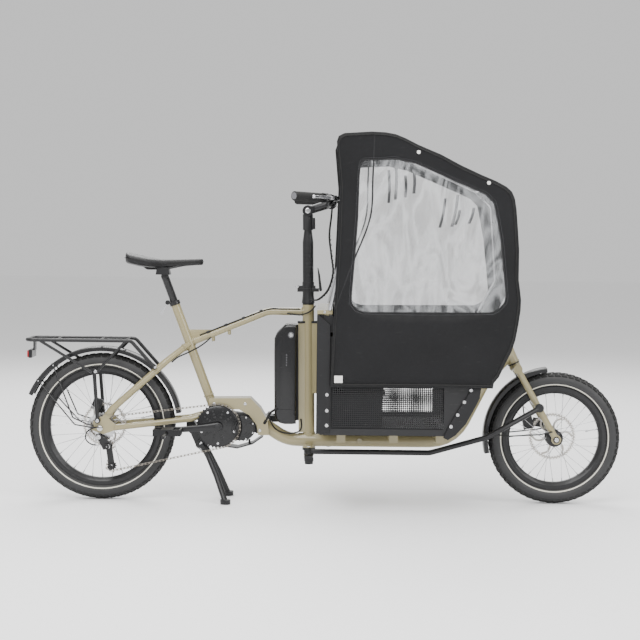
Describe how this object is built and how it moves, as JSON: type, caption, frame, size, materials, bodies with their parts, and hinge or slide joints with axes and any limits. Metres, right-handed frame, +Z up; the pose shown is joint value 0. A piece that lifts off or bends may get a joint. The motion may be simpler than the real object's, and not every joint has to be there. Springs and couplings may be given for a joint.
{
  "type": "cargo bicycle",
  "caption": "Front-loading cargo bicycle with a mid motor, battery, linked front-wheel steering, child bench and a black rain canopy with clear windows.",
  "frame": {"origin": "on the ground under the middle of the bicycle's length", "axes": "+X forward, +Y the rider's left, +Z up"},
  "size_m": [2.0972, 0.7, 1.29],
  "materials": {
    "frame_paint": "glossy sand paint",
    "black_paint": "satin black powder coat",
    "black_plastic": "moulded black plastic",
    "gloss_black": "smooth black plastic",
    "tyre_rubber": "tyre rubber with tread",
    "rubber": "soft rubber",
    "steel": "bright steel",
    "rotor_steel": "ground steel",
    "alloy": "anodised aluminium",
    "chain_steel": "oiled chain steel",
    "lens": "red lens",
    "canopy_cloth": "woven black canopy cloth",
    "window_film": "clear film",
    "seat_cloth": "dark seat cloth",
    "saddle_cover": "black saddle cover"
  },
  "bodies": {
    "frame": {"main_frame": "frame_paint", "rear_stays": "frame_paint", "seat_clamp": "black_paint", "rear_rack": "black_paint", "tail_light": "lens", "rear_mudguard": "black_plastic", "motor_housing": "black_plastic", "motor_covers": "black_plastic", "battery_rail": "black_plastic", "rear_caliper": "black_paint", "stand_bracket": "black_paint", "rear_axle": "steel", "headset_bearings": "black_paint", "derailleur": "black_paint", "chain": "chain_steel", "frame_cables": "rubber", "box_floor": "black_plastic", "box_side_panels": "black_paint", "box_end_panels": "black_plastic", "box_corner_covers": "black_plastic", "box_rim": "black_paint", "seat_bench": "black_plastic", "seat_cushion": "seat_cloth", "canopy": "canopy_cloth", "canopy_windows": "window_film", "canopy_hoops": "alloy"},
    "rear_wheel": {"rear_tyre": "tyre_rubber", "rear_rim": "black_paint", "rear_spokes": "steel", "rear_hub": "black_paint", "rear_rotor": "rotor_steel"},
    "cassette_body": {"cassette": "steel"},
    "cranks": {"crank_arms": "black_paint", "chain_ring": "black_paint"},
    "right_pedal": {"pedal_right": "black_plastic"},
    "left_pedal": {"pedal_left": "black_plastic"},
    "upper_jockey": {"upper_pulley": "black_plastic"},
    "lower_jockey": {"lower_pulley": "black_plastic"},
    "stand": {"kickstand": "black_paint"},
    "battery_pack": {"battery": "gloss_black"},
    "battery_key": {"battery_lock": "alloy"},
    "seat": {"seatpost": "black_paint", "saddle": "saddle_cover", "saddle_rails": "steel"},
    "seat_quick_release": {"seat_lever": "alloy"},
    "steering": {"steering_column": "black_paint", "control_cables": "rubber"},
    "post_lever": {"fold_lever": "alloy"},
    "bars": {"bar_post": "black_paint", "handlebar": "black_paint", "grips": "rubber"},
    "right_brake": {"brake_lever_right": "black_paint"},
    "left_brake": {"brake_lever_left": "black_paint"},
    "fork_body": {"fork": "frame_paint", "fork_fittings": "black_plastic"},
    "front_wheel": {"front_tyre": "tyre_rubber", "front_rim": "black_paint", "front_spokes": "steel", "front_hub": "black_paint"},
    "drag_link": {"steering_rod": "black_paint"}
  },
  "joints": [
    {"name": "rear_wheel_spin", "type": "hinge", "parent": "frame", "child": "rear_wheel", "pos_m": [-0.782, 0, 0.259], "axis": [0, 1, 0], "continuous": true},
    {"name": "freewheel_spin", "type": "hinge", "parent": "frame", "child": "cassette_body", "pos_m": [-0.782, 0, 0.259], "axis": [0, 1, 0], "continuous": true},
    {"name": "crank_spin", "type": "hinge", "parent": "frame", "child": "cranks", "pos_m": [-0.371, 0, 0.267], "axis": [0, 1, 0], "continuous": true},
    {"name": "right_pedal_spin", "type": "hinge", "parent": "cranks", "child": "right_pedal", "pos_m": [-0.54059, -0.134, 0.25514], "axis": [0, 1, 0], "continuous": true},
    {"name": "left_pedal_spin", "type": "hinge", "parent": "cranks", "child": "left_pedal", "pos_m": [-0.20141, 0.134, 0.27886], "axis": [0, 1, 0], "continuous": true},
    {"name": "upper_jockey_spin", "type": "hinge", "parent": "frame", "child": "upper_jockey", "pos_m": [-0.757, -0.05, 0.196], "axis": [0, 1, 0], "continuous": true},
    {"name": "lower_jockey_spin", "type": "hinge", "parent": "frame", "child": "lower_jockey", "pos_m": [-0.743, -0.05, 0.124], "axis": [0, 1, 0], "continuous": true},
    {"name": "stand_fold", "type": "hinge", "parent": "frame", "child": "stand", "pos_m": [-0.43, 0, 0.203], "axis": [0, 1, 0], "range_deg": [0, 68]},
    {"name": "battery_tilt", "type": "hinge", "parent": "frame", "child": "battery_pack", "pos_m": [-0.125, 0, 0.276], "axis": [0, -1, 0], "range_deg": [0, 15]},
    {"name": "battery_key_turn", "type": "hinge", "parent": "battery_pack", "child": "battery_key", "pos_m": [-0.117, -0.04, 0.59], "axis": [0, 1, 0], "range_deg": [0, 90]},
    {"name": "seat_height", "type": "slide", "parent": "frame", "child": "seat", "axis": [-0.3536, 0, 0.9354], "range_m": [-0.07, 0.06]},
    {"name": "seat_release", "type": "hinge", "parent": "frame", "child": "seat_quick_release", "pos_m": [-0.55447, 0, 0.69855], "axis": [0, 1, 0], "range_deg": [0, 100]},
    {"name": "steer", "type": "hinge", "parent": "frame", "child": "steering", "pos_m": [-0.051, 0, 0.19], "axis": [-0.014, 0, 0.9999], "range_deg": [-12, 12]},
    {"name": "post_lever_open", "type": "hinge", "parent": "steering", "child": "post_lever", "pos_m": [-0.0148, 0, 0.74856], "axis": [0, 1, 0], "range_deg": [0, 60]},
    {"name": "post_fold", "type": "hinge", "parent": "steering", "child": "bars", "pos_m": [-0.09694, 0, 0.75841], "axis": [0, -1, 0], "range_deg": [0, 80]},
    {"name": "right_brake_pull", "type": "hinge", "parent": "bars", "child": "right_brake", "pos_m": [0.01952, -0.25823, 1.06712], "axis": [0, 0, -1], "range_deg": [0, 8], "stiffness_Nm_per_rad": 0.5},
    {"name": "left_brake_pull", "type": "hinge", "parent": "bars", "child": "left_brake", "pos_m": [0.01952, 0.25823, 1.06712], "axis": [0, 0, 1], "range_deg": [0, 8], "stiffness_Nm_per_rad": 0.5},
    {"name": "fork_steer", "type": "hinge", "parent": "frame", "child": "fork_body", "pos_m": [0.67, 0, 0.498], "axis": [-0.4131, 0, 0.9107], "range_deg": [-12, 12]},
    {"name": "front_wheel_spin", "type": "hinge", "parent": "fork_body", "child": "front_wheel", "pos_m": [0.817, 0, 0.233], "axis": [0, 1, 0], "continuous": true},
    {"name": "drag_link_swing", "type": "hinge", "parent": "steering", "child": "drag_link", "pos_m": [-0.051, -0.088, 0.186], "axis": [0, 0, 1], "range_deg": [-12, 12]}
  ],
  "couplings": [
    {"joint": "fork_steer", "follows": "steer", "ratio": 1},
    {"joint": "drag_link_swing", "follows": "steer", "ratio": -1},
    {"joint": "freewheel_spin", "follows": "crank_spin", "ratio": 2.2353}
  ]
}
